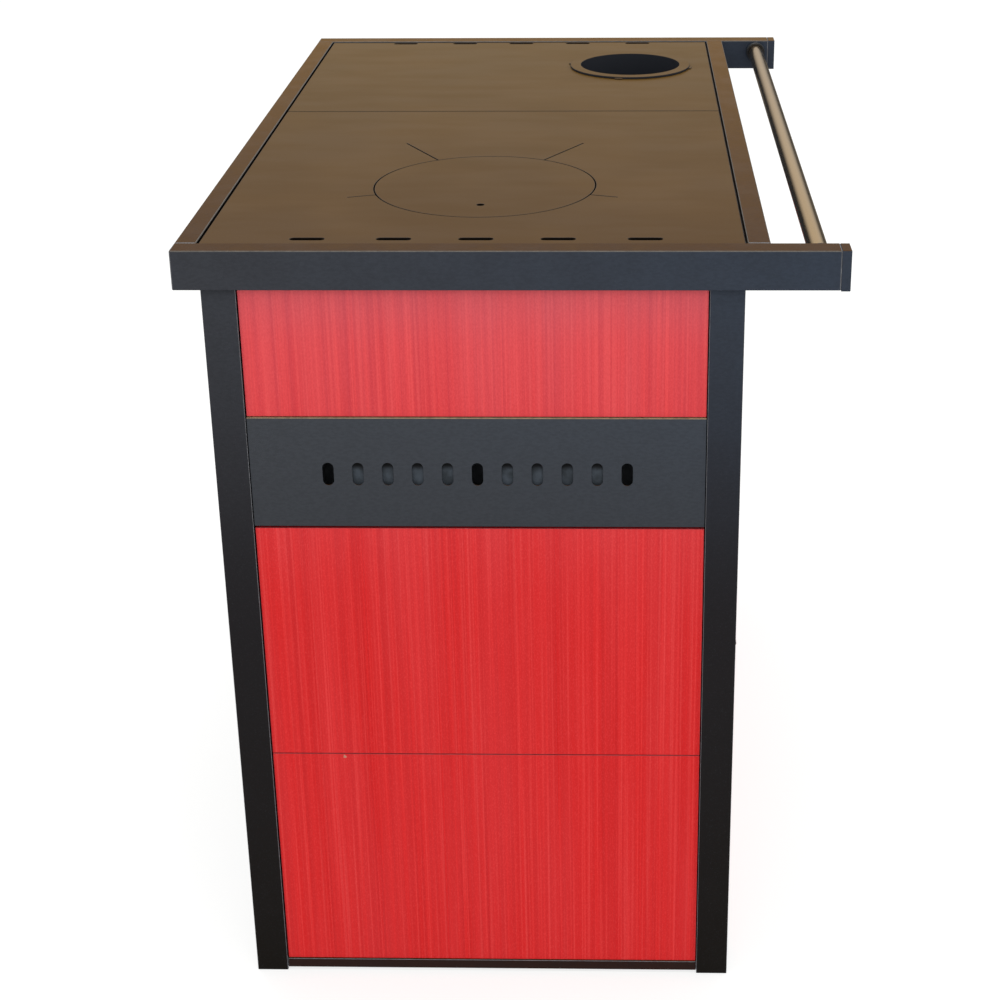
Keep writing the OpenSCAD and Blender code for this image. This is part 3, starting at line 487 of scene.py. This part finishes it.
def baffle_paint():
    """Stove paint behind the vent slots, with a painted shadow above the middle of each slot."""
    f = Finish("vent_baffle_paint", "2c3036", rough=0.5)
    f.set("Specular IOR Level", 0.1)
    low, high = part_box("left_vent_strip")
    slot_z = (low[2] + high[2]) / 2
    cloud = f.grain(14, detail=3)
    body = f.blend(f.between(cloud, 0.3, 0.7), paint("2f3439"), paint("424951"))
    # painted shadow: near black over the upper part of each slot
    painted_shadow = f.between(f.height(), slot_z, slot_z + 7 * MM, 0, 0.93)
    f.set("Base Color", f.blend(painted_shadow, body, paint("0b0b0c")))
    f.raise_by(cloud, 0.2, 0.3)
    return f.material


# the foot, middle and head colours make a painted shade gradient on the vent strips
STRIP_PAINT = stove_paint("vent_strip_stove_paint", "191919", "34363a", "3f4247", "3b424c")
BAFFLE_PAINT = baffle_paint()
SOFT_EDGED = {"bar_end_caps", "left_vent_strip", "right_vent_strip", "hinge_brackets"}
OWN_FINISH = {
    # 26282d is painted shade inside the collar and on its sides
    "flue_collar": hob_plate("flue_rolled_steel", "26282d"),
    # the foot, middle and head colours make a painted shade gradient on the base pan
    "base_pan": stove_paint("base_stove_paint", "2c1c18", "1c1a1b", "34363b", "2f353e"),
    "left_vent_strip": STRIP_PAINT,
    "right_vent_strip": STRIP_PAINT,
    "left_vent_baffle": BAFFLE_PAINT,
    "right_vent_baffle": BAFFLE_PAINT,
}
EDGE_WIDTH = {
    "left_hob_bar": 1.2,
    "right_hob_bar": 1.2,
    "front_hob_bar": 1.2,
    "rear_hob_bar": 1.2,
    "firebricks": 1.2,
    "grate_frame": 1.0,
    "fire_grate": 1.0,
}
ROPES = {"fire_door_seal", "oven_seal"}
for solid in frame["nodes"]:
    if solid not in ROPES:
        break_edges(solid, EDGE_WIDTH.get(solid, 0.5), finish=OWN_FINISH.get(solid))


# Oven thermometer

def cut_loose(name, finish, body):
    """The selected fresh mesh with its place applied, riding on a body."""
    piece = bpy.context.object
    piece.name = name
    bpy.ops.object.transform_apply(location=True, rotation=True, scale=True)
    give(piece, finish)
    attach(piece, body)
    return piece


def join_all(pieces):
    bpy.ops.object.select_all(action="DESELECT")
    for piece in pieces:
        piece.select_set(True)
    bpy.context.view_layer.objects.active = pieces[0]
    bpy.ops.object.join()


DIAL_DEPTH = 3.02 * MM
SCALE_REACH = 23.2 * MM
NUMBER_REACH = 15 * MM
NUMBER_SIZE = 5.2 * MM


def thermometer_scale():
    """Ticks and plain numbers printed on the face of the thermometer."""
    low, high = [Vector(corner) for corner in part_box("thermometer")]
    middle = (low + high) / 2
    face_y = high.y - DIAL_DEPTH
    marks = []
    tick_count = 31
    sweep = math.radians(270)
    for i in range(tick_count):
        turn = math.radians(225) - sweep * i / (tick_count - 1)
        main = i % 5 == 0
        length = (3.2 if main else 1.8) * MM
        reach = SCALE_REACH - length / 2
        bpy.ops.object.select_all(action="DESELECT")
        place = middle + Vector((reach * math.cos(turn), 0, reach * math.sin(turn)))
        bpy.ops.mesh.primitive_plane_add(size=1, location=(place.x, face_y, place.z))
        tick = bpy.context.object
        tick.scale = (length, (0.5 if main else 0.28) * MM, 1)
        tilt = Matrix.Rotation(-turn, 3, "Y") @ Matrix.Rotation(math.pi / 2, 3, "X")
        tick.rotation_euler = tilt.to_euler()
        bpy.ops.object.transform_apply(location=True, rotation=True, scale=True)
        marks.append(tick)
        if i % 10 == 0:
            bpy.ops.object.text_add(location=(0, 0, 0))
            number = bpy.context.object
            number.data.body = str(i * 10)
            number.data.size = NUMBER_SIZE
            number.data.align_x = "CENTER"
            number.data.align_y = "CENTER"
            bpy.ops.object.convert(target="MESH")
            number = bpy.context.object
            number.rotation_euler = (math.pi / 2, 0, 0)
            number.location = (
                middle.x + NUMBER_REACH * math.cos(turn),
                face_y,
                middle.z + NUMBER_REACH * math.sin(turn),
            )
            bpy.ops.object.transform_apply(location=True, rotation=True, scale=True)
            marks.append(number)
    join_all(marks)
    cut_loose("thermometer_scale", FINISHES["trim_black"], "oven_door")


def thermometer_lens():
    """Slightly domed glass over the thermometer, held in its rim."""
    low, high = [Vector(corner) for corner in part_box("thermometer")]
    middle = (low + high) / 2
    bpy.ops.object.select_all(action="DESELECT")
    bpy.ops.mesh.primitive_cylinder_add(
        vertices=64,
        radius=24.9 * MM,
        depth=0.8 * MM,
        location=(middle.x, low.y + 1.9 * MM, middle.z),
        rotation=(math.pi / 2, 0, 0),
    )
    bpy.ops.object.mode_set(mode="EDIT")
    bpy.ops.mesh.select_mode(type="FACE")
    bpy.ops.mesh.select_all(action="DESELECT")
    bpy.ops.object.mode_set(mode="OBJECT")
    lens = bpy.context.object
    for face in lens.data.polygons:
        face.select = face.normal.z > 0.9
    bpy.ops.object.mode_set(mode="EDIT")
    for rise in (0.5, 0.3, 0.1):
        bpy.ops.mesh.inset(thickness=6 * MM, depth=rise * MM)
    bpy.ops.object.mode_set(mode="OBJECT")
    bpy.ops.object.shade_smooth_by_angle(angle=math.radians(40))
    cut_loose("thermometer_lens", clear_glass("dial_lens_glass", "f4f6f6", 0.1), "oven_door")


def finish_faces(piece, finish, chosen):
    """A second finish on the faces of a piece that chosen picks."""
    piece.data.materials.append(finish)
    for face in piece.data.polygons:
        if chosen(face):
            face.material_index = len(piece.data.materials) - 1


def damper_pointer():
    """White line inlaid along the grip of the damper's knob."""
    low, high = [Vector(corner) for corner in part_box("damper_knob")]
    bpy.ops.object.select_all(action="DESELECT")
    bpy.ops.mesh.primitive_plane_add(
        size=1,
        location=((low.x + high.x) / 2, low.y - 0.03 * MM, high.z - 10 * MM),
        rotation=(math.pi / 2, 0, 0),
    )
    line = bpy.context.object
    line.scale = (1.6 * MM, 15 * MM, 1)
    cut_loose("damper_pointer", DIAL_WHITE, "damper")


# Rope seals of the doors

def rounded_loop(low, high, corner, step):
    """Points, with their outward directions, round a rectangle with rounded corners in X and Z."""
    walk = []
    for turn, (x, z) in enumerate(
        (
            (high.x - corner, high.z - corner),
            (low.x + corner, high.z - corner),
            (low.x + corner, low.z + corner),
            (high.x - corner, low.z + corner),
        )
    ):
        for part in range(7):
            angle = math.radians(90 * turn + 15 * part)
            away = Vector((math.cos(angle), 0, math.sin(angle)))
            walk.append((Vector((x, 0, z)) + away * corner, away))
    points = []
    for (start, first), (end, second) in zip(walk, walk[1:] + walk[:1]):
        count = max(1, round((end - start).length / step))
        for i in range(count):
            share = i / count
            points.append((start.lerp(end, share), first.lerp(second, share).normalized()))
    return points


def twisted_rope(node, width, body):
    """Three-strand glass rope laid in the groove of a door."""
    strand = 1.5 * MM
    lay = 14 * MM
    low, high = [Vector(corner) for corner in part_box(node)]
    inset = Vector((width / 2, 0, width / 2))
    path = rounded_loop(low + inset, high - inset, 9.5 * MM, lay / 8)
    across = width / 2 - strand - 0.2 * MM
    deep = (high.y - low.y) / 2 - strand
    rope = bpy.data.curves.new(node + "_rope", "CURVE")
    rope.dimensions = "3D"
    rope.bevel_depth = strand
    rope.bevel_resolution = 1
    turns = round(len(path) / 8)
    for strand_start in range(3):
        line = rope.splines.new("POLY")
        line.points.add(len(path) - 1)
        line.use_cyclic_u = True
        for i, (place, away) in enumerate(path):
            turn = math.tau * (turns * i / len(path) + strand_start / 3)
            place = place + away * across * math.cos(turn)
            y = (low.y + high.y) / 2 + deep * math.sin(turn)
            line.points[i].co = (place.x, y, place.z, 1)
    piece = bpy.data.objects.new(node + "_rope", rope)
    bpy.context.scene.collection.objects.link(piece)
    pick_only(piece)
    bpy.ops.object.convert(target="MESH")
    piece = bpy.context.object
    bpy.ops.object.mode_set(mode="EDIT")
    bpy.ops.mesh.select_all(action="SELECT")
    bpy.ops.mesh.normals_make_consistent(inside=False)
    bpy.ops.object.mode_set(mode="OBJECT")
    bpy.ops.object.shade_smooth()
    give(piece, FINISHES["seal"])
    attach(piece, body)
    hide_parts(node)


ROPE_WIDTH = 9 * MM
twisted_rope("fire_door_seal", ROPE_WIDTH, "fire_door")
twisted_rope("oven_seal", ROPE_WIDTH, "oven_door")

DIAL_WHITE = dial_enamel()
thermometer_scale()
thermometer_lens()
damper_pointer()


# Second finishes, on some faces of a piece

def finished(solid):
    return bpy.data.objects[solid + "_finished"]


def white_dial():
    back_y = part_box("thermometer")[1][1]
    finish_faces(
        finished("thermometer"),
        DIAL_WHITE,
        lambda face: face.normal.y < -0.9 and face.center.y > back_y - 4 * MM,
    )


def hob_bar_faces():
    """Bars painted dark where they face the plates, as shade in the gaps, and given a painted
    highlight along their rounded top edges.
    """
    # painted shade: faces towards the plates take the hob finish, whose sideways faces are dark
    for bar, inward in (("front", 1), ("rear", -1)):
        finish_faces(
            finished(bar + "_hob_bar"),
            FINISHES["hob_steel"],
            lambda face: inward * face.normal.y > 0.7,
        )
    # painted highlight along the rounded top edges of the bars
    painted_highlight = painted_edge_line("bar_painted_edge_highlight", "524c45", 0.4)
    for bar in ("left", "right", "front", "rear"):
        finish_faces(finished(bar + "_hob_bar"), painted_highlight, lambda face: 0.3 < face.normal.z < 0.9)


def vent_strip_edges():
    """Top edges of the vent strips, with a tan painted highlight."""
    # painted highlight: a tan finish on the top edge faces of each strip
    painted_highlight = painted_edge_line("vent_strip_painted_edge_highlight", "a08a6a", 0.4)
    for side in ("left", "right"):
        top_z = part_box(side + "_vent_strip")[1][2]
        finish_faces(
            finished(side + "_vent_strip"),
            painted_highlight,
            lambda face: face.center.z > top_z - 0.5 * MM,
        )


def oven_door_back():
    """Oven enamel on the back of the door and round its window."""
    front_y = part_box("oven_door")[0][1]
    low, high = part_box("oven_glass")
    finish_faces(
        finished("oven_door"),
        FINISHES["oven_enamel"],
        lambda face: face.normal.y > 0.7
        or (
            face.center.y > front_y + 0.6 * MM
            and low[0] - MM < face.center.x < high[0] + MM
            and low[2] - MM < face.center.z < high[2] + MM
        ),
    )


def drawer_fronts():
    """Bare sheet behind the drawer fronts, and a black knob on the ash drawer."""
    front_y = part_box("oven_door")[0][1]
    for drawer in ("ash_drawer_front", "wood_drawer_front"):
        finish_faces(finished(drawer), FINISHES["inner_steel"], lambda face: face.normal.y > 0.7)
    finish_faces(
        finished("ash_drawer_front"),
        FINISHES["trim_black"],
        lambda face: face.center.y < front_y - 0.8 * MM,
    )


white_dial()
hob_bar_faces()
vent_strip_edges()
oven_door_back()
drawer_fronts()


# Floor and lights

def pale_floor():
    bpy.ops.object.select_all(action="DESELECT")
    bpy.ops.mesh.primitive_plane_add(size=40, location=(0, 0, -0.0005))
    floor = bpy.context.object
    floor.name = "studio_floor"
    f = Finish("floor_pale_matt", "9c9c9a", rough=0.8)
    f.set("Specular IOR Level", 0.0)
    pale = f.blend(f.grain(900, detail=2), paint("989896"), paint("9e9e9d"))
    mirrored = f.add("ShaderNodeLightPath").outputs["Is Glossy Ray"]
    f.set("Base Color", f.blend(mirrored, pale, paint("6a665f")))
    f.set("Emission Color", (1, 1, 1, 1))
    f.set("Emission Strength", f.between(mirrored, 0, 1, 0.72, 0.0, smooth=False))
    give(floor, f.material)


def soft_box(name, place, aim, width, height, power):
    lamp = bpy.data.lights.new(name, "AREA")
    lamp.shape = "RECTANGLE"
    lamp.size = width
    lamp.size_y = height
    lamp.energy = power
    stand = bpy.data.objects.new(name, lamp)
    stand.location = place
    away = Vector(aim) - Vector(place)
    stand.rotation_euler = away.to_track_quat("-Z", "Y").to_euler()
    bpy.context.scene.collection.objects.link(stand)


def studio():
    pale_floor()
    world = bpy.data.worlds.new("studio_room")
    bpy.context.scene.world = world
    world.use_nodes = True
    tree = world.node_tree
    room = tree.nodes["Background"]
    ray = tree.nodes.new("ShaderNodeLightPath")
    way = tree.nodes.new("ShaderNodeTexCoord")
    up = tree.nodes.new("ShaderNodeSeparateXYZ")
    wall = tree.nodes.new("ShaderNodeValToRGB")
    mix = tree.nodes.new("ShaderNodeMix")
    mix.data_type = "RGBA"
    for at, grey in ((0.0, 0.06), (0.06, 0.1), (0.25, 0.85)):
        stop = wall.color_ramp.elements[0] if at == 0 else wall.color_ramp.elements.new(at)
        stop.color = (grey, grey, grey, 1)
    wall.color_ramp.elements[-1].color = (0.97, 0.97, 0.97, 1)
    mix.inputs[6].default_value = (1, 1, 1, 1)
    tree.links.new(way.outputs["Generated"], up.inputs[0])
    tree.links.new(up.outputs["Z"], wall.inputs[0])
    tree.links.new(ray.outputs["Is Glossy Ray"], mix.inputs[0])
    tree.links.new(wall.outputs[0], mix.inputs[7])
    tree.links.new(mix.outputs[2], room.inputs["Color"])
    soft_box("side_light", (-3.4, -0.4, 2.3), (-0.4, 0, 0.45), 2.6, 2.0, 26)
    soft_box("top_light", (0.9, 0.3, 3.4), (0.2, 0, 0.85), 2.4, 2.4, 36)
    soft_box("front_light", (-0.3, -3.6, 2.2), (0, -0.2, 0.5), 2.6, 2.0, 26)
    bpy.context.scene.view_settings.view_transform = "Standard"


studio()

bpy.context.view_layer.update()
